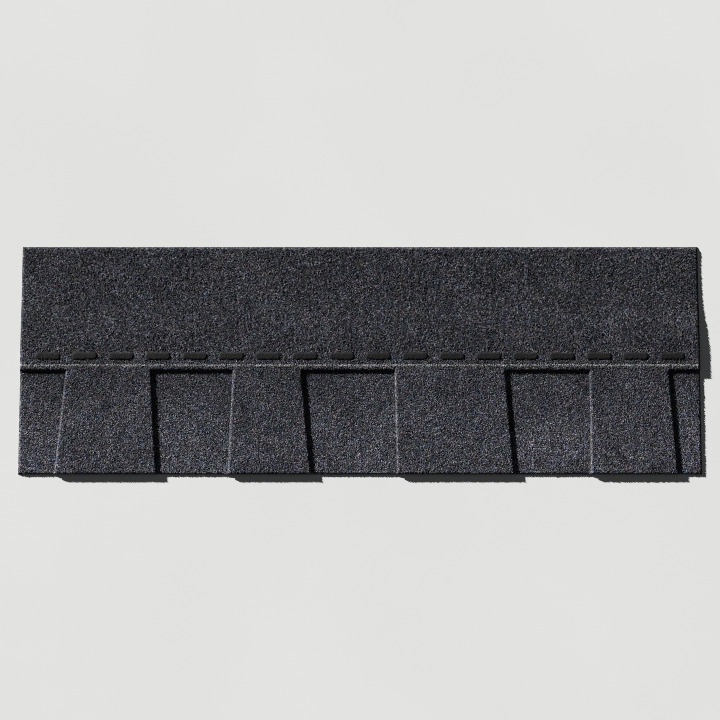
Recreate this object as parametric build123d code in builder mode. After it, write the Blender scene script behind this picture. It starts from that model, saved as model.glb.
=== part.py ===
from build123d import *

import os
from itertools import cycle
from math import atan2, degrees, sin

# A laminated asphalt roofing shingle, lying face up on a level floor.
# Two granule-surfaced plies are glued together. The upper one, the tooth layer, reaches from
# the butt edge to the top edge, and a die has cut its lower half into wide and narrow teeth.
# The lower one, the backer strip, closes the cut-outs between the teeth from below.
# Millimetres. X runs along the course, Y from the butt edge up to the top edge, and Z away
# from the roof. The origin is on the underside, at the centre of the outline.

# Whole shingle
length = 1000.0  # along the course
exposure = 142.9  # height left uncovered by the next course
headlap = 50.8  # height that lies under two courses

# Die's pattern, from the left end, which repeats along a longer shingle: sizes along the butt
# edge, and how far each side of a tooth leans in at its root
cutout_widths = [53.0, 103.0, 125.0, 111.0]  # the cut-out before each tooth
tooth_widths = [150.0, 123.0, 172.0, 128.0]
left_leans = [14.5, 6.7, -3.6, 0.0]
right_leans = [9.7, 14.5, 12.1, 10.8]
cutout_cover = 9.1  # the cut-outs run this far up under the next course
die_radius = 1.5  # corner at the teeth's tips and at the roots between them

# Plies
tooth_ply_thickness = 2.6
backer_thickness = 2.6
shoulder_radius = 1.2  # upper edge that the cut rolls over
bond_width = 32.0  # the backer strip reaches this far above the cut-outs
droop_run = 100.0  # length over which the unbacked headlap comes down to the floor

# Laminating adhesive: a ribbon above the cut-outs, and rows of patches behind each tooth
adhesive_thickness = 0.4
adhesive_margin = 8.0  # bare stretch at both ends of the shingle
ribbon_width = 12.0
patch_height = 9.0
patch_rows = 3
patch_margin = 12.0  # bare stretch between a patch and the tooth's sides

# Sealant dashes, which bond the next course down
dash_length = 38.0
dash_width = 11.0
dash_thickness = 0.8
dash_slope = 0.5  # the beads' sides lean in by this much along the top
dash_space = 16.0
dash_line = 21.5  # middle of the dashes above the roots of the cut-outs

# Release film, rolled flush into the back
film_width = 26.0
film_thickness = 0.05

height = 2 * exposure + headlap
butt = -height / 2
root = butt + exposure + cutout_cover
backer_top = root + bond_width
cutout_depth = root - butt
tooth_underside = backer_thickness + adhesive_thickness
tooth_face = tooth_underside + tooth_ply_thickness

teeth = []
reached = -length / 2
for cutout, width, left_lean, right_lean in cycle(zip(cutout_widths, tooth_widths, left_leans, right_leans)):
    if reached + cutout > length / 2:
        break
    teeth.append((reached + cutout, reached + cutout + width, left_lean, right_lean))
    reached += cutout + width


def sides_at(tooth, y):
    """X of a tooth's left and right side at a height y."""
    left, right, left_lean, right_lean = tooth
    share = (y - butt) / cutout_depth
    return left + left_lean * share, right - right_lean * share


def rim_of(faces):
    """The edges round a group of faces, without those that two of them share."""
    edges = [edge for face in faces for edge in face.edges()]
    return [edge for edge in edges if sum(edge.is_same(other) for other in edges) == 1]


def faces_up(part):
    return part.faces().filter_by(lambda face: face.normal_at().Z > 0.9)


# Tooth layer: its side profile is flat over the backer strip, comes down in two equal
# opposite arcs, and lies on the floor up to the top edge
droop_angle = 2 * atan2(tooth_underside, droop_run)
droop_radius = droop_run / (2 * sin(droop_angle))
with BuildPart() as tooth_layer:
    with BuildSketch(Plane.YZ.offset(-length / 2)):
        with BuildLine():
            lap = Line((butt, tooth_underside), (backer_top, tooth_underside))
            over = JernArc(lap @ 1, lap % 1, droop_radius, -degrees(droop_angle))
            under = JernArc(over @ 1, over % 1, droop_radius, degrees(droop_angle))
            Line(under @ 1, (-butt, 0))
            offset(amount=tooth_ply_thickness, side=Side.LEFT)
        make_face()
    extrude(amount=length)

    # The die leaves the headlap whole and the teeth below it, each widest at its tip
    with BuildSketch() as outline:
        with Locations((0, (root - butt) / 2)):
            Rectangle(length, -butt - root)
        for tooth in teeth:
            (tip_left, tip_right), (root_left, root_right) = sides_at(tooth, butt), sides_at(tooth, root)
            with BuildLine():
                Polyline((tip_left, butt), (tip_right, butt), (root_right, root), (root_left, root), close=True)
            make_face()
        tips, roots = outline.vertices().group_by(Axis.Y)[:2]
        fillet(tips + roots.filter_by(lambda corner: abs(corner.X) < length / 2 - die_radius), radius=die_radius)
    extrude(amount=tooth_face, mode=Mode.INTERSECT)
    fillet(rim_of(faces_up(tooth_layer)), radius=shoulder_radius)

# Backer strip: one straight ply as long as the shingle, with the release film's shallow seat.
# Every other shingle of a bundle is turned end for end, so the film is as far below the
# middle as the sealant dashes are above it.
film_middle = -(root + dash_line)
with BuildPart() as backer_strip:
    with BuildSketch():
        with Locations((0, (butt + backer_top) / 2)):
            Rectangle(length, backer_top - butt)
    extrude(amount=backer_thickness)
    fillet(rim_of(faces_up(backer_strip)), radius=shoulder_radius)
    with BuildSketch():
        with Locations((0, film_middle)):
            Rectangle(length, film_width)
    extrude(amount=film_thickness, mode=Mode.SUBTRACT)

with BuildPart() as release_film:
    with BuildSketch():
        with Locations((0, film_middle)):
            Rectangle(length, film_width)
    extrude(amount=film_thickness)

# Laminating adhesive, pressed flat between the two plies
with BuildPart() as laminating_adhesive:
    with BuildSketch(Plane.XY.offset(backer_thickness)):
        with Locations((0, (root + backer_top) / 2)):
            Rectangle(length, ribbon_width)
        for row in range(patch_rows):
            row_middle = butt + (row + 0.5) * cutout_depth / patch_rows
            for tooth in teeth:
                left, right = sides_at(tooth, row_middle)
                with Locations(((left + right) / 2, row_middle)):
                    Rectangle(right - left - 2 * patch_margin, patch_height)
        Rectangle(length - 2 * adhesive_margin, height, mode=Mode.INTERSECT)
    extrude(amount=adhesive_thickness)

# Sealant dashes: a row of low round-ended beads on the face
dash_pitch = dash_length + dash_space
with BuildPart() as sealant_dashes:
    with BuildSketch(Plane.XY.offset(tooth_face)):
        with Locations((0, root + dash_line)):
            with GridLocations(dash_pitch, 0, int(length / dash_pitch), 1):
                SlotOverall(dash_length, dash_width)
    extrude(amount=dash_thickness)
    chamfer(rim_of(faces_up(sealant_dashes)), length=dash_slope)

pieces = {
    "tooth_layer": tooth_layer,
    "backer_strip": backer_strip,
    "laminating_adhesive": laminating_adhesive,
    "sealant_dashes": sealant_dashes,
    "release_film": release_film,
}
os.makedirs("parts", exist_ok=True)
for name, piece in pieces.items():
    piece.part.label = name
    export_step(piece.part, f"parts/{name}.step")
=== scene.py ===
import math

import bpy
import numpy as np
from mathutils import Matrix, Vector
from mathutils.geometry import delaunay_2d_cdt


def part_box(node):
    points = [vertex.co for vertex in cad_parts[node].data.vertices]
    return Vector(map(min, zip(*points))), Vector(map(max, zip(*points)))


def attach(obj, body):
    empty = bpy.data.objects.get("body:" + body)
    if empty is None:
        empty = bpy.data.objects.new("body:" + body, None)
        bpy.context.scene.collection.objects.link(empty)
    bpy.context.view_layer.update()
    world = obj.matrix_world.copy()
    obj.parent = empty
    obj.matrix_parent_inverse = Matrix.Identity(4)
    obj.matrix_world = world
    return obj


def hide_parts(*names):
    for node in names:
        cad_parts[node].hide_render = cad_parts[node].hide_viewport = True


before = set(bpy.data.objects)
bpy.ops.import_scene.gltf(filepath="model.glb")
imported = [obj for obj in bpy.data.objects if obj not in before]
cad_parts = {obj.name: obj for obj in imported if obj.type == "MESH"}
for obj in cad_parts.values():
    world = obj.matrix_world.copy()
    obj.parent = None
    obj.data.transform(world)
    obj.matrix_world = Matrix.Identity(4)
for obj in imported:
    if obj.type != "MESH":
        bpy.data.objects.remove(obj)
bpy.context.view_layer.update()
mm = 0.001

# Backer strip
# The lower ply is a straight strip of glass mat soaked in filled asphalt. The knife leaves
# dark edges with the mat as a pale line, and sand on the back keeps stacked shingles apart.
backer_low, backer_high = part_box("backer_strip")
tooth_low, tooth_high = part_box("tooth_layer")
film_low, film_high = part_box("release_film")
butt, top_edge, backer_top = tooth_low.y, tooth_high.y, backer_high.y

rim_step = 2.0 * mm  # between two points along a cut edge
roll_width = 4.5 * mm  # the face rolls down to a cut edge over this width
roll_depth = 2.2 * mm
asphalt_depth = 0.35 * mm  # the asphalt lies this far below the stones' mean height
cut_roughness = 0.12 * mm
asphalt_relief = 0.15 * mm
back_relief = 0.12 * mm
asphalt_spacing = 5.0 * mm
back_spacing = 7.0 * mm
loose_jitter = 0.27  # share of the spacing by which the points of a sheet stray
back_margin = 1.5 * mm
floor_gap = 0.02 * mm
film_seat = 0.35 * mm  # the back stands this far off the floor over the film
seat_side = 0.5 * mm  # a row of points runs this far to each side of the film's edges
seat_spacing = 4.0 * mm  # between two points of such a row
seat_end = 3.0 * mm  # the rows stop this far short of the sheet's ends
seat_margin = 2.5 * mm  # no loose point is nearer to the film's edges than this

# From the floor up: how far in millimetres each line along a cut edge lies inside the
# outline, its share of the edge's height, and whether the mat shows there
edge_lines = ((0.22, 0.0, 0.0), (0.1, 0.32, 0.0), (0.0, 0.5, 1.0), (0.12, 0.68, 0.0), (0.45, 1.0, 0.0))
rim_inset = edge_lines[-1][0] * mm
shoulder_line = 1.6 * mm  # a line of points along the rolled face


def underside_outline(node):
    """The outline of a CAD node's underside, seen from above, counter-clockwise."""
    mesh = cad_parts[node].data
    mesh.calc_loop_triangles()
    points = [tuple(round(c, 6) for c in v.co) for v in mesh.vertices]
    edges = set()
    for triangle in mesh.loop_triangles:
        if triangle.normal.z < -0.9:
            a, b, c = (points[v] for v in triangle.vertices)
            edges |= {(a, b), (b, c), (c, a)}
    after = {b: a for a, b in edges if (b, a) not in edges}
    start = here = min(after)
    loop = []
    while not loop or here != start:
        loop.append(here)
        here = after[here]
    return np.array(loop)[:, :2]


def in_rows(low, high, spacing, jitter, rng):
    """Points in staggered rows, pushed out of line at random, with a mark on every third of them."""
    row, column = np.mgrid[
        0 : math.ceil((high[1] - low[1]) / (spacing * math.sqrt(0.75))) + 1,
        0 : math.ceil((high[0] - low[0]) / spacing) + 1,
    ]
    x = low[0] + (column + row % 2 / 2) * spacing
    y = low[1] + row * spacing * math.sqrt(0.75)
    points = np.stack([x.ravel(), y.ravel()], 1)
    points += rng.uniform(-jitter, jitter, points.shape) * spacing
    return points, ((column - row // 2 - row) % 3 == 0).ravel()


def depth_inside(points, outline):
    """How far each point lies inside an outline, and less than nothing outside it."""
    nearest = np.full(len(points), np.inf)
    inside = np.zeros(len(points), bool)
    x, y = points.T
    for a, b in zip(outline, np.roll(outline, -1, axis=0)):
        along = b - a
        share = np.clip(((points - a) @ along) / (along @ along), 0, 1)
        nearest = np.minimum(nearest, np.linalg.norm(points - a - share[:, None] * along, axis=1))
        if a[1] != b[1]:
            spans = (a[1] > y) != (b[1] > y)
            inside ^= spans & (x < a[0] + (y - a[1]) * along[0] / along[1])
    return np.where(inside, nearest, -nearest)


def along_rim(outline, step):
    """Points at even steps along an outline, with the direction inward at each."""
    points, inward = [], []
    for a, b in zip(outline, np.roll(outline, -1, axis=0)):
        length = np.linalg.norm(b - a)
        count = max(1, round(length / step))
        points.append(a + np.arange(count)[:, None] / count * (b - a))
        inward.append(np.tile([(a[1] - b[1]) / length, (b[0] - a[0]) / length], (count, 1)))
    points, inward = np.concatenate(points), np.concatenate(inward)
    inward = inward + np.roll(inward, 1, axis=0)
    return points, inward / np.linalg.norm(inward, axis=1)[:, None]


def filled(rim, points):
    """Triangles that fill a rim, whose points come first, through loose points inside it."""
    every = np.concatenate([rim, points]).tolist()
    made = delaunay_2d_cdt(every, [], [list(range(len(rim)))], 0, 1e-9, True)
    assert len(made[0]) == len(every)
    return np.array([triangle for triangle, loops in zip(made[2], made[5]) if loops])


def wall_between(rings):
    """Triangles that close the gaps between rings of equally many points, from the lowest up."""
    count = len(rings[0])
    here = np.arange(count)
    after = np.roll(here, -1)
    triangles = []
    for low in range(0, (len(rings) - 1) * count, count):
        high = low + count
        triangles.append(np.column_stack([low + here, low + after, high + after]))
        triangles.append(np.column_stack([low + here, high + after, high + here]))
    return np.concatenate(triangles)


def new_piece(name, points, faces, materials, finishes=None):
    """A mesh object, where finishes say which of its materials each face has."""
    mesh = bpy.data.meshes.new(name)
    mesh.vertices.add(len(points))
    mesh.vertices.foreach_set("co", points.astype(np.float32).ravel())
    mesh.loops.add(faces.size)
    mesh.loops.foreach_set("vertex_index", faces.astype(np.int32).ravel())
    mesh.polygons.add(len(faces))
    mesh.polygons.foreach_set("loop_start", np.arange(0, faces.size, faces.shape[1], dtype=np.int32))
    for material in materials:
        mesh.materials.append(material)
    if finishes is not None:
        mesh.polygons.foreach_set("material_index", finishes.astype(np.int32))
    mesh.update(calc_edges=True)
    piece = bpy.data.objects.new(name, mesh)
    bpy.context.scene.collection.objects.link(piece)
    return piece


def store(piece, name, domain, values):
    """Keeps a value for each point or face, which a material looks up by its name."""
    kept = piece.data.attributes.new(name, "FLOAT", domain)
    kept.data.foreach_set("value", values.astype(np.float32))


def place(piece, slot, *nodes):
    """Fixes a piece to the shingle and hides the CAD nodes that it stands for. The slot, its finish, is
    not used.
    """
    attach(piece, "root")
    if nodes:
        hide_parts(*nodes)


def rolled(depth):
    """How far the face has rolled down at this depth inside the cut edge."""
    return roll_depth * np.clip(1 - depth / roll_width, 0, 1) ** 3


def ply(name, outline, back_height, face_height, seat_lines, materials, rng):
    """A closed sheet: asphalt face, rough cut edge with the mat in it, and sanded back."""
    rim, inward = along_rim(outline, rim_step)
    rings, mat = [], []
    for inset, share, shows_mat in edge_lines:
        ring = rim + inward * (inset * mm + rng.uniform(0, cut_roughness, (len(rim), 1)))
        low, high = back_height(ring), face_height(ring, rim_inset) - asphalt_depth
        height = low + (high - low) * share + rng.uniform(0, back_relief, len(rim))
        rings.append(np.column_stack([ring, height]))
        mat.append(np.full(len(rim), shows_mat))
    shoulder, inward = along_rim(outline, asphalt_spacing)
    face = in_rows(outline.min(0), outline.max(0), asphalt_spacing, loose_jitter, rng)[0]
    face = face[depth_inside(face, outline) > 0.5 * asphalt_spacing]
    face = np.concatenate([shoulder + inward * shoulder_line, face])
    face_z = face_height(face, depth_inside(face, outline)) - asphalt_depth
    face_z += rng.uniform(-1, 1, len(face)) * asphalt_relief
    back = in_rows(outline.min(0), outline.max(0), back_spacing, loose_jitter, rng)[0]
    left, right = outline[:, 0].min() + seat_end, outline[:, 0].max() - seat_end
    across = np.arange(left, right, seat_spacing)
    for y in seat_lines:
        back = back[abs(back[:, 1] - y) > seat_margin]
        for side in (-seat_side, seat_side):
            back = np.concatenate([back, np.column_stack([across, np.full(len(across), y + side)])])
    back = back[depth_inside(back, outline) > back_margin]
    back_z = back_height(back) + rng.uniform(0, back_relief, len(back))
    below_top = (len(rings) - 1) * len(rim)
    wall = wall_between(rings)
    upper = filled(rings[-1][:, :2], face) + below_top
    lower = filled(rings[0][:, :2], back)[:, ::-1]
    lower[lower >= len(rim)] += below_top + len(face)
    points = np.concatenate([*rings, np.column_stack([face, face_z]), np.column_stack([back, back_z])])
    triangles = np.concatenate([wall, upper, lower])
    finishes = np.repeat([1, 0, 2], [len(wall), len(upper), len(lower)])
    piece = new_piece(name, points, triangles, materials, finishes)
    mat = np.concatenate(mat)
    store(piece, "mat", "POINT", np.concatenate([mat, np.zeros(len(points) - len(mat))]))
    return piece


def add(tree, kind, inputs=None, **settings):
    """A shader node with its settings, and with its inputs linked or set to a value."""
    node = tree.nodes.new("ShaderNode" + kind)
    for name, value in settings.items():
        setattr(node, name, value)
    for socket, value in (inputs or {}).items():
        if isinstance(value, bpy.types.NodeSocket):
            tree.links.new(value, node.inputs[socket])
        else:
            node.inputs[socket].default_value = value
    return node


def noise(tree, where, scale, detail, **others):
    """A soft random pattern over the surface."""
    inputs = {"Vector": where, "Scale": scale, "Detail": detail, **others}
    return add(tree, "TexNoise", inputs).outputs[0]


def stored(tree, name):
    """A value that was kept for each point or face."""
    return add(tree, "Attribute", attribute_name=name).outputs["Fac"]


def ranged(tree, value, low, high, to_low, to_high):
    """A value moved smoothly from one range to another."""
    inputs = {"Value": value, "From Min": low, "From Max": high, "To Min": to_low, "To Max": to_high}
    return add(tree, "MapRange", inputs, interpolation_type="SMOOTHSTEP").outputs[0]


def times(tree, a, b):
    """Two values multiplied."""
    return add(tree, "Math", {0: a, 1: b}, operation="MULTIPLY").outputs[0]


def over(tree, share, below, above):
    """One colour laid over another as far as the share says."""
    return add(tree, "Mix", {0: share, 6: below, 7: above}, data_type="RGBA").outputs[2]


def ramp(tree, value, *stops):
    """A value turned into the colours of a few stops, blended from each to the next."""
    node = add(tree, "ValToRGB", {0: value})
    elements = node.color_ramp.elements
    for number, (position, colour) in enumerate(stops):
        element = elements[number] if number < 2 else elements.new(position)
        element.position = position
        element.color = (*colour, 1)
    return node.outputs[0]


def new_group(name, inputs, outputs):
    """An effect that several materials share, with its input and output nodes."""
    group = bpy.data.node_groups.new(name, "ShaderNodeTree")
    for sockets, in_out in ((inputs, "INPUT"), (outputs, "OUTPUT")):
        for socket, kind in sockets.items():
            group.interface.new_socket(socket, in_out=in_out, socket_type="NodeSocket" + kind)
    return group, group.nodes.new("NodeGroupInput"), group.nodes.new("NodeGroupOutput")


def grouped(tree, group, **inputs):
    """What a shared effect puts out."""
    return add(tree, "Group", inputs, node_tree=group).outputs[0]


def new_material(name, roughness, specular=0.1):
    """A material with its node tree, its shader and the place that its patterns follow."""
    material = bpy.data.materials.new(name)
    material.use_nodes = True
    tree = material.node_tree
    shader = tree.nodes["Principled BSDF"]
    shader.inputs["Roughness"].default_value = roughness
    shader.inputs["Specular IOR Level"].default_value = specular
    return material, tree, shader, add(tree, "TexCoord").outputs["Object"]


def bumped(tree, shader, height, distance, strength=1.0):
    """Fine relief from a height that changes over the surface."""
    bump = add(tree, "Bump", {"Height": height, "Distance": distance, "Strength": strength})
    tree.links.new(bump.outputs[0], shader.inputs["Normal"])


# Mineral dust: pale specks in loose drifts, thick on the back and the film and thin elsewhere
dust, dust_in, dust_out = new_group(
    "mineral_dust", {"Where": "Vector", "Amount": "Float"}, {"Mask": "Float"}
)
drifts = noise(dust, dust_in.outputs["Where"], 22.0, 4.0)
specks = noise(dust, dust_in.outputs["Where"], 1 / (0.8 * mm), 2.0)
drifts = ranged(dust, drifts, 0.35, 0.7, 0.35, 1.0)
specks = ranged(dust, specks, 0.4, 0.68, 0.1, 1.0)
lying = times(dust, times(dust, drifts, specks), dust_in.outputs["Amount"])
dust.links.new(lying, dust_out.inputs["Mask"])

asphalt_black = (0.0085, 0.0085, 0.009, 1)
limestone = (0.23, 0.22, 0.2, 1)
glass_fibre = (0.36, 0.35, 0.31, 1)
dark_sand = (0.1, 0.097, 0.09, 1)

bed_material, tree, shader, where = new_material("asphalt_bed", 0.8)
fines = add(tree, "TexVoronoi", {"Vector": where, "Scale": 1 / (0.9 * mm)})
dusted = grouped(tree, dust, Where=where, Amount=0.08)
tree.links.new(over(tree, dusted, asphalt_black, limestone), shader.inputs["Base Color"])
bumped(tree, shader, fines.outputs["Distance"], 0.3 * mm)

edge_material, tree, shader, where = new_material("cut_edge", 0.8)
filler = noise(tree, where, 1 / (0.5 * mm), 3.0)
chalky = ranged(tree, filler, 0.42, 0.62, 0.0, 0.3)
colour = over(tree, chalky, asphalt_black, limestone)
fibres = ranged(tree, noise(tree, where, 1 / (1.1 * mm), 2.0), 0.38, 0.55, 0.0, 1.0)
mat_line = times(tree, ranged(tree, stored(tree, "mat"), 0.55, 1.0, 0.0, 0.8), fibres)
tree.links.new(over(tree, mat_line, colour, glass_fibre), shader.inputs["Base Color"])
bumped(tree, shader, filler, 0.25 * mm)

back_material, tree, shader, where = new_material("sanded_back", 0.9)
sand = add(tree, "TexVoronoi", {"Vector": where, "Scale": 1 / (0.7 * mm)})
grain = add(tree, "SeparateColor", {0: sand.outputs["Color"]}).outputs[0]
colour = over(tree, ranged(tree, grain, 0.2, 1.0, 0.05, 0.5), asphalt_black, dark_sand)
colour = over(tree, grouped(tree, dust, Where=where, Amount=0.6), colour, limestone)
tree.links.new(colour, shader.inputs["Base Color"])
bumped(tree, shader, sand.outputs["Distance"], 0.2 * mm, 0.8)

ply_materials = (bed_material, edge_material, back_material)


def backer_back(points):
    """The back lies on the floor, and on the film where that is."""
    on_film = (points[:, 1] > film_low.y) & (points[:, 1] < film_high.y)
    return np.where(on_film, film_seat, floor_gap)


def backer_face(points, depth):
    """The face is rolled down at the edges that the teeth leave bare."""
    bare = np.clip(-depth_inside(points, tooth_outline) / roll_width, 0, 1)
    return backer_high.z - rolled(depth) * bare


tooth_outline = underside_outline("tooth_layer")
backer_outline = np.array(
    [
        (backer_low.x, backer_low.y),
        (backer_high.x, backer_low.y),
        (backer_high.x, backer_high.y),
        (backer_low.x, backer_high.y),
    ]
)
backer_ply = ply(
    "backer_ply",
    backer_outline,
    backer_back,
    backer_face,
    (film_low.y, film_high.y),
    ply_materials,
    np.random.default_rng(12),
)
place(backer_ply, "shadow_granules", "backer_strip")

# Backer granules
# Crushed stone, fired charcoal grey, is pressed side by side into the hot asphalt. It shows in
# the cut-outs, where a darker band towards their roots deepens the look of shadow.
exposed_spacing = 1.5 * mm  # between two stones
exposed_jitter = 0.33  # share of the spacing by which they stray
edge_spacing = 0.95 * mm  # between two points along the stones' outer edge
edge_inset = (0.3, 0.5)  # in millimetres inside the outline, from and to
edge_drop = 0.5 * mm  # below the rolled face
edge_clearance = 0.7 * mm  # all other points lie at least this far inside the outline
crest_rise = (0.0, 0.6)  # a stone's crest, in millimetres over the face, from and to
hollow_rise = (-0.75, -0.23)  # the hollows round it
level_share = 0.15  # this share of all crests and hollows is worn level
level_rise = (-0.25, 0.25)
lost_share = 0.03  # this share of the stones has come off
lost_rise = -0.8
tone_spread = (0.8, 1.5)  # many dark stones and few pale ones
shade_stray = 14 * mm  # the height over which the borders between shades wander
tucked = 2.5 * mm  # the stones go on this far under the teeth
pressed_margin = 0.4 * mm  # a tooth also presses down the stones this near to it
pressed_gap = 0.05 * mm  # between them and its back
lap_low, lap_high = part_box("laminating_adhesive")


def crushed_stones(outline, spots, tops, face_height, rng):
    """A face of stones side by side: its points, its triangles, and the stone of each triangle."""
    rim, inward = along_rim(outline, edge_spacing)
    rim = rim + inward * rng.uniform(*edge_inset, (len(rim), 1)) * mm
    depth = depth_inside(spots, outline)
    spots, tops, depth = (each[depth > edge_clearance] for each in (spots, tops, depth))
    count = len(spots)
    rise = np.where(tops, rng.uniform(*crest_rise, count), rng.uniform(*hollow_rise, count))
    level = rng.random(count) < level_share
    rise[level] = rng.uniform(*level_rise, level.sum())
    lost = tops & (rng.random(count) < lost_share)
    rise[lost] = lost_rise
    rim_height = face_height(rim, np.mean(edge_inset) * mm) - edge_drop
    spot_height = face_height(spots, depth) + rise * mm
    points = np.concatenate([np.column_stack([rim, rim_height]), np.column_stack([spots, spot_height])])
    triangles = filled(rim, spots)
    # A triangle belongs to the stone whose crest it touches, or else to its own highest corner
    rank = np.concatenate([np.full(len(rim), -1.0), rise + tops])
    stone = triangles[np.arange(len(triangles)), rank[triangles].argmax(1)]
    return points, triangles, stone


def stone_piece(name, points, triangles, stone, material, rng):
    """Some of a face's stones as a piece of its own, with a tone and a tint for each stone."""
    used, triangles = np.unique(triangles, return_inverse=True)
    triangles = triangles.reshape(-1, 3)
    points = points[used]
    piece = new_piece(name, points, triangles, [material])
    numbered, stone = np.unique(stone, return_inverse=True)
    store(piece, "tone", "FACE", rng.beta(*tone_spread, len(numbered))[stone])
    store(piece, "tint", "FACE", rng.uniform(0, 1, len(numbered))[stone])
    # The map for baking is the piece as seen from above, filling a square
    flat = (points[:, :2] - points[:, :2].min(0)) / np.ptp(points[:, :2], axis=0)
    bake_map = piece.data.uv_layers.new(name="OFBake")
    bake_map.uv.foreach_set("vector", flat[triangles].astype(np.float32).ravel())
    return piece


# Stone colour: Tone runs from black to pale stone, and Tint from red through brown and green to
# blue. Drift makes neighbouring stones redder or bluer together.
stone_colour, stone_in, stone_out = new_group(
    "stone_colour",
    {"Tone": "Float", "Tint": "Float", "Drift": "Vector", "Shade": "Float"},
    {"Color": "Color"},
)
tone = ramp(
    stone_colour,
    stone_in.outputs["Tone"],
    (0.0, (0.0265, 0.0262, 0.038)),
    (0.42, (0.0935, 0.093, 0.1115)),
    (0.78, (0.1757, 0.1752, 0.1965)),
    (1.0, (0.271, 0.271, 0.292)),
)
tint = ramp(
    stone_colour,
    stone_in.outputs["Tint"],
    (0.0, (0.889, 0.86, 0.945)),
    (0.33, (0.895, 0.866, 0.869)),
    (0.66, (0.833, 0.882, 0.886)),
    (1.0, (0.828, 0.876, 0.963)),
)
red_drift, blue_drift = 0.85, 0.75
drifting = {
    0: stone_in.outputs["Drift"],
    1: (red_drift, 0.0, blue_drift),
    2: (1 - red_drift / 2, 1.0, 0.987 - blue_drift / 2),
}
drift = add(stone_colour, "VectorMath", drifting, operation="MULTIPLY_ADD").outputs[0]
colour = add(stone_colour, "VectorMath", {0: tone, 1: tint}, operation="MULTIPLY").outputs[0]
colour = add(stone_colour, "VectorMath", {0: colour, 1: drift}, operation="MULTIPLY").outputs[0]
shaded = {0: colour, "Scale": stone_in.outputs["Shade"]}
colour = add(stone_colour, "VectorMath", shaded, operation="SCALE").outputs[0]
stone_colour.links.new(colour, stone_out.inputs["Color"])


def stone_material(name, brightness, shades, marking=None):
    """Stones in soft clouds of tone, shaded by their height, with what is painted on them."""
    material, tree, shader, where = new_material(name, 0.9, 0.05)
    clouds = noise(tree, where, 14.0, 3.0, Roughness=0.55)
    shade = ranged(tree, clouds, 0.3, 0.7, 0.81 * brightness, 1.19 * brightness)
    y = add(tree, "SeparateXYZ", {0: where}).outputs["Y"]
    straying = {0: noise(tree, where, 90.0, 5.0), 1: shade_stray, 2: y}
    height = add(tree, "Math", straying, operation="MULTIPLY_ADD").outputs[0]
    low, high = butt + shade_stray / 2, top_edge + shade_stray / 2
    share = add(tree, "MapRange", {"Value": height, "From Min": low, "From Max": high}).outputs[0]
    stops = [((level - butt) / (top_edge - butt), (value,) * 3) for level, value in shades]
    shade = times(tree, shade, ramp(tree, share, *stops))
    veins = add(tree, "TexNoise", {"Vector": where, "Scale": 110.0, "Detail": 2.0}).outputs["Color"]
    tone, tint = stored(tree, "tone"), stored(tree, "tint")
    colour = grouped(tree, stone_colour, Tone=tone, Tint=tint, Drift=veins, Shade=shade)
    colour = over(tree, grouped(tree, dust, Where=where, Amount=0.05), colour, limestone)
    if marking is not None:
        colour = marking(tree, where, colour)
    tree.links.new(colour, shader.inputs["Base Color"])
    bumped(tree, shader, noise(tree, where, 1 / (0.45 * mm), 2.0), 0.12 * mm, 0.7)
    return material


def crossings(outline, y):
    """Where an outline crosses a height, from left to right."""
    a, b = outline, np.roll(outline, -1, axis=0)
    spans = (a[:, 1] > y) != (b[:, 1] > y)
    a, b = a[spans], b[spans]
    return np.sort(a[:, 0] + (y - a[:, 1]) / (b[:, 1] - a[:, 1]) * (b[:, 0] - a[:, 0]))


# Both ends of the shingle are in cut-outs, so the roots are as high as the outline is there
root = tooth_outline[:, 1][np.abs(tooth_outline[:, 0]) > tooth_high.x - 0.01 * mm].min()
tooth_sides = crossings(tooth_outline, (butt + root) / 2).reshape(-1, 2)
tooth_middles = tooth_sides.mean(1)
cut_out_middles = (tooth_sides[:-1, 1] + tooth_sides[1:, 0]) / 2

rng = np.random.default_rng(21)
spots, tops = in_rows(backer_low, backer_high, exposed_spacing / math.sqrt(3), exposed_jitter, rng)
shown = (spots[:, 1] < root + tucked) & (depth_inside(spots, tooth_outline) < tucked)
points, triangles, stone = crushed_stones(backer_outline, spots[shown], tops[shown], backer_face, rng)
pressed = depth_inside(points[:, :2], tooth_outline) > -pressed_margin
points[pressed, 2] = np.minimum(points[pressed, 2], lap_high.z - pressed_gap)
middle = points[triangles, :2].mean(1)
shown = (middle[:, 1] < root + tucked) & (depth_inside(middle, tooth_outline) < 0.5 * tucked)

# Heights on the shingle, and how bright the stones are there
backer_shades = (
    (butt, 0.98),
    (butt + 50 * mm, 1.01),
    (butt + 72 * mm, 0.95),
    (butt + 95 * mm, 0.74),
    (butt + 125 * mm, 0.62),
    (root, 0.56),
)
backer_stone = stone_material("backer_stone", 1.32, backer_shades)
number = np.searchsorted(tooth_middles, middle[:, 0])
for cut_out in range(len(tooth_middles) + 1):
    there = shown & (number == cut_out)
    name = f"cut_out_{cut_out + 1}_granules"
    piece = stone_piece(name, points, triangles[there], stone[there], backer_stone, rng)
    place(piece, "shadow_granules")

# Laminating adhesive
# Ribbons and patches of hot modified asphalt glue the plies together. The rollers press them
# flat, so their rims bulge and wander.
lap_sink = 0.35 * mm  # the adhesive goes this far down between the stones
lap_squeeze = 0.05 * mm  # and is pressed this far into the upper ply's back
bead_roundness = 0.96  # corner radius as a share of the half width
corner_points = 9
bead_jitter = 0.25

# From the foot of a bead up: how far each ring lies inside its rim, as a share of the half
# width, and how high, as a share of the height
bead_rings = ((0.0, 0.0), (-0.05, 0.3), (0.06, 0.64), (0.24, 0.9), (0.44, 1.0))


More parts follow.
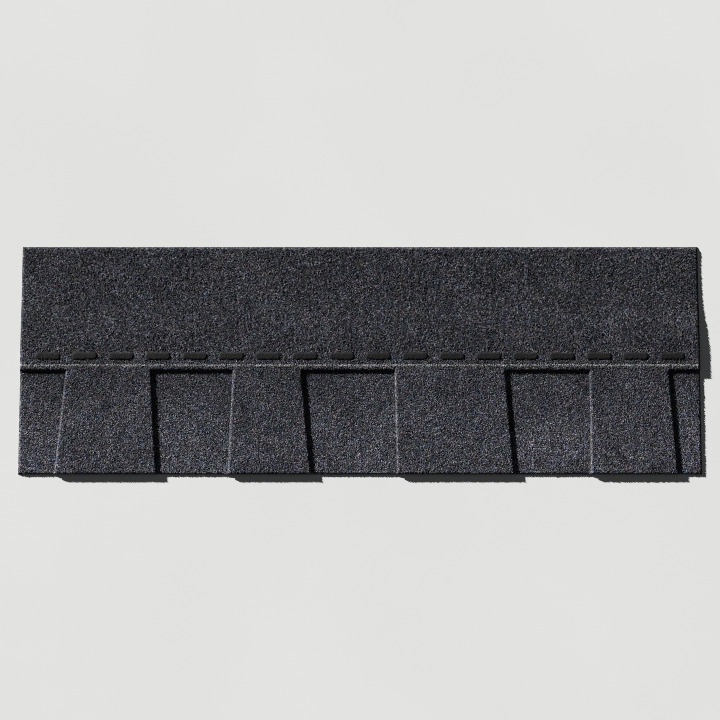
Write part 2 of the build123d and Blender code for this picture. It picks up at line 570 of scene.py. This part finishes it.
def boxes_in(node):
    """The lowest and highest corner of each separate solid in a CAD node."""
    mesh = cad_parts[node].data
    mesh.calc_loop_triangles()
    corners = np.array([triangle.vertices for triangle in mesh.loop_triangles])
    places = np.array([v.co for v in mesh.vertices]).round(6)
    points, merged = np.unique(places, axis=0, return_inverse=True)
    corners = merged.ravel()[corners]
    solid = np.arange(len(points))
    while True:
        reached = solid.copy()
        np.minimum.at(reached, corners, solid[corners].min(1)[:, None])
        if (reached == solid).all():
            break
        solid = reached
    solids = [points[solid == first] for first in np.unique(solid)]
    return [(own.min(0), own.max(0)) for own in solids]


def bead(low, high, foot, crest, step, wander, lumps, rng):
    """A closed round-ended bead of asphalt: its points and its triangles."""
    half_width = (high[1] - low[1]) / 2
    corner = bead_roundness * half_width
    outline = []
    for x, y, start in (
        (high[0] - corner, low[1] + corner, -90),
        (high[0] - corner, high[1] - corner, 0),
        (low[0] + corner, high[1] - corner, 90),
        (low[0] + corner, low[1] + corner, 180),
    ):
        turn = np.radians(start + np.linspace(0, 90, corner_points))
        outline.append(np.column_stack([x + corner * np.cos(turn), y + corner * np.sin(turn)]))
    outline = np.concatenate(outline)
    rim, inward = along_rim(outline, step)
    drift = rng.uniform(-1, 1, (len(rim), 1))
    for _ in range(2):
        drift = (drift + np.roll(drift, 1, axis=0) + np.roll(drift, -1, axis=0)) / 2
    rim = rim + inward * (drift + 1) * wander
    rings = []
    for inset, share in bead_rings:
        ring = rim + inward * inset * half_width
        height = foot + (crest - foot) * share + rng.uniform(-1, 1, len(rim)) * lumps * share
        rings.append(np.column_stack([ring, height]))
    top_rim = rings[-1][:, :2]
    face = in_rows(low, high, step, bead_jitter, rng)[0]
    face = face[depth_inside(face, top_rim) > 0.55 * step]
    face_z = crest + rng.uniform(-1, 1, len(face)) * lumps
    upper = filled(top_rim, face) + (len(rings) - 1) * len(rim)
    lower = filled(rim, np.empty((0, 2)))[:, ::-1]
    points = np.concatenate([*rings, np.column_stack([face, face_z])])
    return points, np.concatenate([wall_between(rings), upper, lower])


def bead_piece(name, beads, material):
    """Several beads as one piece."""
    points = np.concatenate([own_points for own_points, _ in beads])
    starts = np.cumsum([0] + [len(own_points) for own_points, _ in beads[:-1]])
    triangles = np.concatenate([own + start for (_, own), start in zip(beads, starts)])
    return new_piece(name, points, triangles, [material])


asphalt_brown = (0.0125, 0.0115, 0.011, 1)


def asphalt_material(name, smooth, rough, dusting):
    """Black asphalt whose gloss changes in smears, with some of the bundle's dust on it."""
    material, tree, shader, where = new_material(name, rough)
    smears = noise(tree, where, 160.0, 4.0, Distortion=0.8)
    tree.links.new(ranged(tree, smears, 0.35, 0.68, smooth, rough), shader.inputs["Roughness"])
    dusted = grouped(tree, dust, Where=where, Amount=dusting)
    browned = over(tree, smears, asphalt_black, asphalt_brown)
    tree.links.new(over(tree, dusted, browned, limestone), shader.inputs["Base Color"])
    bumped(tree, shader, noise(tree, where, 1 / (1.8 * mm), 2.0), 0.3 * mm, 0.6)
    return material


rng = np.random.default_rng(34)
foot, crest = lap_low.z - lap_sink, lap_high.z + lap_squeeze
lap_beads = [
    bead(low, high, foot, crest, step=4 * mm, wander=0.5 * mm, lumps=0.02 * mm, rng=rng)
    for low, high in boxes_in("laminating_adhesive")
]
lap_asphalt = asphalt_material("lap_asphalt", 0.4, 0.6, 0.05)
place(
    bead_piece("laminating_beads", lap_beads, lap_asphalt),
    "laminating_asphalt",
    "laminating_adhesive",
)

# Tooth layer
# The upper ply is die-cut from the same coated mat. It is glued down over the backer strip, and
# its headlap, which nothing backs, sinks to the floor in a long soft bend.
bend_run = 100 * mm  # length over which it sinks
tooth_thickness = tooth_high.z - lap_high.z


def tooth_back(points):
    """The back follows the soft bend from the backer strip down to the floor."""
    share = np.clip((points[:, 1] - backer_top) / bend_run, 0, 1)
    return lap_high.z * np.where(share < 0.5, 1 - 2 * share**2, 2 * (1 - share) ** 2) + floor_gap


def tooth_face(points, depth):
    """The face keeps the ply's thickness, and is rolled down at every edge."""
    return tooth_back(points) - floor_gap + tooth_thickness - rolled(depth)


tooth_ply = ply(
    "tooth_ply", tooth_outline, tooth_back, tooth_face, (), ply_materials, np.random.default_rng(55)
)
place(tooth_ply, "granules", "tooth_layer")

# Tooth granules
# The teeth carry the same charcoal stone. The headlap, which the next courses hide, has coarser
# and darker stone, and a thin painted line marks where the nails go.
headlap_spacing = 2.0 * mm  # between two stones
headlap_jitter = 0.36
headlap_start = root + 30 * mm
nail_line = root + 8 * mm
paint_fade = (1.1 * mm, 1.9 * mm)  # the paint fades out this far from its middle, from and to
nail_paint = (0.33, 0.33, 0.32, 1)


def painted_line(tree, where, colour):
    """Lays the nail line over the stones' colour. The paint misses a spot here and there."""
    y = add(tree, "SeparateXYZ", {0: where}).outputs["Y"]
    aside = add(tree, "Math", {0: y, 1: nail_line}, operation="SUBTRACT").outputs[0]
    aside = add(tree, "Math", {0: aside}, operation="ABSOLUTE").outputs[0]
    covered = ranged(tree, noise(tree, where, 1 / (2.2 * mm), 3.0), 0.36, 0.56, 0.1, 0.9)
    line = times(tree, ranged(tree, aside, *paint_fade, 1.0, 0.0), covered)
    return over(tree, line, colour, nail_paint)


rng = np.random.default_rng(89)
fine, fine_tops = in_rows(
    tooth_low, (tooth_high.x, headlap_start), exposed_spacing / math.sqrt(3), exposed_jitter, rng
)
coarse, coarse_tops = in_rows(
    (tooth_low.x, headlap_start), tooth_high, headlap_spacing / math.sqrt(3), headlap_jitter, rng
)
below, above = fine[:, 1] < headlap_start, coarse[:, 1] > headlap_start + 0.25 * headlap_spacing
spots = np.concatenate([fine[below], coarse[above]])
tops = np.concatenate([fine_tops[below], coarse_tops[above]])
points, triangles, stone = crushed_stones(tooth_outline, spots, tops, tooth_face, rng)
middle = points[triangles, :2].mean(1)
tooth_shades = (
    (butt, 1.05),
    (butt + 50 * mm, 1.07),
    (butt + 85 * mm, 1.02),
    (butt + 115 * mm, 0.87),
    (root, 0.83),
    (headlap_start - 3 * mm, 0.83),
    (headlap_start + 2 * mm, 0.62),
    (top_edge, 0.62),
)
tooth_stone = stone_material("tooth_stone", 1.0, tooth_shades, painted_line)
on_headlap = middle[:, 1] > headlap_start
number = np.searchsorted(cut_out_middles, middle[:, 0])
for tooth in range(len(tooth_middles)):
    for zone, here in (("tooth", ~on_headlap), ("headlap", on_headlap)):
        there = here & (number == tooth)
        name = f"{zone}_{tooth + 1}_granules"
        piece = stone_piece(name, points, triangles[there], stone[there], tooth_stone, rng)
        place(piece, "granules")

# Sealant dashes
# A wheel lays short beads of soft asphalt on the stones. The sun's heat later melts them
# against the back of the next course.
dash_low, dash_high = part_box("sealant_dashes")
dash_sink = 0.45 * mm  # the beads' feet lie this far down between the stones
dash_crown = 0.1 * mm  # and their crowns stand this far over the CAD's dashes
rng = np.random.default_rng(144)
foot, crest = dash_low.z - dash_sink, dash_high.z + dash_crown
dash_beads = [
    bead(low, high, foot, crest, step=1.4 * mm, wander=0.35 * mm, lumps=0.14 * mm, rng=rng)
    for low, high in boxes_in("sealant_dashes")
]
sealant_asphalt = asphalt_material("sealant_asphalt", 0.6, 0.85, 0.03)
place(bead_piece("sealant_beads", dash_beads, sealant_asphalt), "sealant", "sealant_dashes")

# Release film
# A strip of clear polyester film is rolled onto the back. It keeps the dashes of the next
# shingle in the bundle from sticking, and the rolling leaves fine creases across it.
film_thickness = film_high.z - film_low.z
film_gap = 0.04 * mm  # between the film and the back
film_end, film_side = 1.0 * mm, 0.5 * mm  # the cut film ends this far inside its seat
film_columns, film_rows = 1000, 5
crease_count = 130
crease_depth = 0.2 * mm
crease_slant = 0.6

rng = np.random.default_rng(233)
x, y = np.meshgrid(
    np.linspace(film_low.x + film_end, film_high.x - film_end, film_columns),
    np.linspace(film_low.y + film_side, film_high.y - film_side, film_rows),
    indexing="ij",
)
z = np.full(x.shape, film_seat - film_gap)
for _ in range(crease_count):
    slant = rng.uniform(-crease_slant, crease_slant)
    aside = x + slant * y - rng.uniform(film_low.x, film_high.x)
    depth = rng.uniform(0.2, 1.0) * crease_depth
    width = rng.uniform(0.9, 2.2) * mm
    z -= depth * np.exp(-((aside / width) ** 2))
z = np.maximum(z, 2 * film_thickness)
upper = np.stack([x, y, z], -1).reshape(-1, 3)
grid = np.arange(len(upper)).reshape(x.shape)
quads = np.stack([grid[:-1, :-1], grid[1:, :-1], grid[1:, 1:], grid[:-1, 1:]], -1).reshape(-1, 4)
border = np.concatenate([grid[:-1, 0], grid[-1, :-1], grid[:0:-1, -1], grid[0, :0:-1]])
after = np.roll(border, -1)
count = len(upper)
film_points = np.concatenate([upper, upper - (0, 0, film_thickness)])
rim_quads = np.column_stack([border + count, after + count, after, border])
film_faces = np.concatenate([quads, quads[:, ::-1] + count, rim_quads])

film_grey = (0.34, 0.35, 0.37, 1)
film_haze = (0.6, 0.6, 0.58, 1)
film_material, tree, shader, where = new_material("clear_film", 0.15, 0.7)
shader.inputs["Alpha"].default_value = 0.25
scuffs = noise(tree, where, 60.0, 6.0, Distortion=1.2)
tree.links.new(ranged(tree, scuffs, 0.45, 0.65, 0.1, 0.35), shader.inputs["Roughness"])
hazy = over(tree, grouped(tree, dust, Where=where, Amount=0.3), film_grey, film_haze)
tree.links.new(hazy, shader.inputs["Base Color"])
bumped(tree, shader, scuffs, 0.2 * mm, 0.3)
place(new_piece("film_strip", film_points, film_faces, [film_material]), "film", "release_film")

# Floor, light and camera
pale_floor = (0.72, 0.72, 0.71, 1)
dull_floor = (0.66, 0.66, 0.65, 1)
floor_material, tree, shader, where = new_material("floor", 1.0, 0.05)
mottled = over(tree, noise(tree, where, 2.5, 4.0), pale_floor, dull_floor)
tree.links.new(mottled, shader.inputs["Base Color"])
floor_reach = 30.0  # far enough for low views to show no end of it
floor_corners = floor_reach * np.array([(-1, -1, 0), (1, -1, 0), (1, 1, 0), (-1, 1, 0)])
new_piece("floor", floor_corners, np.array([[0, 1, 2, 3]]), [floor_material])


def towards(side, height):
    """A direction, from its angles round from +X and up from the floor, in degrees."""
    side, height = math.radians(side), math.radians(height)
    level = math.cos(height)
    return Vector((math.cos(side) * level, math.sin(side) * level, math.sin(height)))


scene = bpy.context.scene

# A low sun from the upper left throws the teeth's shadows down and to the right
sun_side, sun_height = 143.5, 13
key = bpy.data.objects.new("key", bpy.data.lights.new("key", "SUN"))
key.data.energy = 14.6
key.data.angle = math.radians(1.5)
key.rotation_euler = towards(sun_side, sun_height).to_track_quat("Z", "Y").to_euler()
scene.collection.objects.link(key)

world = bpy.data.worlds.new("world")
world.use_nodes = True
sky = world.node_tree.nodes["Background"]
sky.inputs["Color"].default_value = (0.93, 0.96, 1, 1)
sky.inputs["Strength"].default_value = 0.06
scene.world = world

# Nothing softens the stones' grain
scene.view_settings.view_transform = "Standard"
scene.cycles.use_denoising = False
scene.cycles.filter_width = 0.9

# The camera looks almost straight down and takes in the whole length
camera = bpy.data.objects.new("camera", bpy.data.cameras.new("camera"))
camera.data.lens = 85
view_width = 1.06
away = towards(-90, 84)
camera.location = away * view_width * camera.data.lens / camera.data.sensor_width
camera.rotation_euler = away.to_track_quat("Z", "Y").to_euler()
scene.collection.objects.link(camera)
bpy.context.scene.camera = camera
